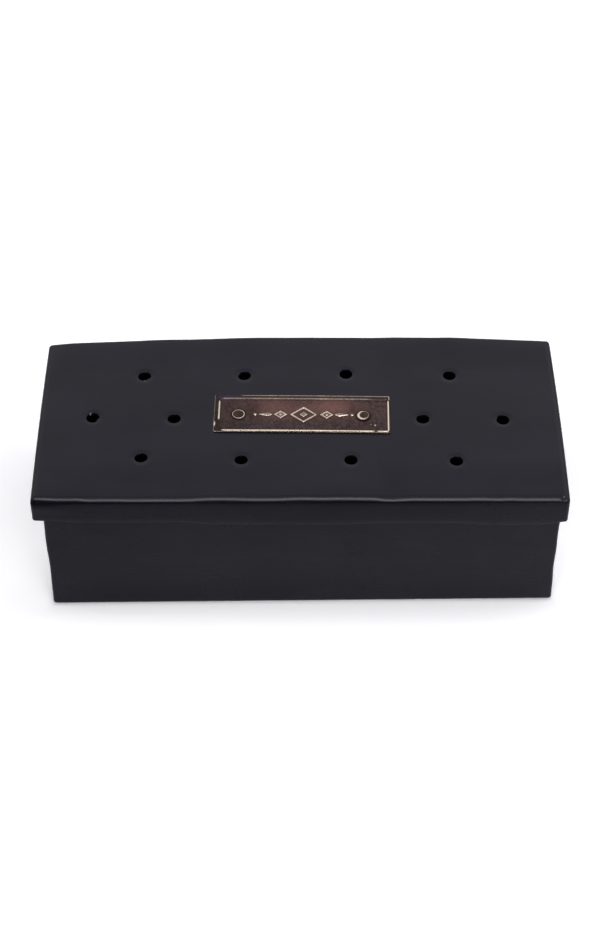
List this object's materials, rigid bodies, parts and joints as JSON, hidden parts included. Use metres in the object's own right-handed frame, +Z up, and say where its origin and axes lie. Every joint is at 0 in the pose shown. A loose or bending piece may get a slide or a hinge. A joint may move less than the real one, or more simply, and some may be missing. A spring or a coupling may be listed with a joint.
{
  "type": "grill smoker box",
  "caption": "Rectangular box of folded sheet iron: a deep tray for wood chips under a loose lid with a turned-down skirt, punched smoke vents and a riveted ornamental badge.",
  "frame": {"origin": "centre of the tray's flat underside, where the box rests", "axes": "+X along the box's length, +Y towards its back long side, +Z up through the lid"},
  "size_m": [0.2108, 0.0952, 0.0677],
  "materials": {
    "black_paint": "satin black heat-resistant paint on sheet iron, soft mottled sheen",
    "aged_bronze": "dark antiqued bronze, the raised lines rubbed bright and golden",
    "rivet_bronze": "antiqued bronze, rubbed bright at the crown's edge"
  },
  "bodies": {
    "tray": {"tray": "black_paint"},
    "lid": {"lid_shell": "black_paint", "badge_plate": "aged_bronze", "badge_rivet_left": "rivet_bronze", "badge_rivet_right": "rivet_bronze"}
  },
  "joints": [
    {"name": "lid_lift", "type": "slide", "parent": "tray", "child": "lid", "axis": [0, 0, 1], "range_m": [0, 0.08]}
  ]
}
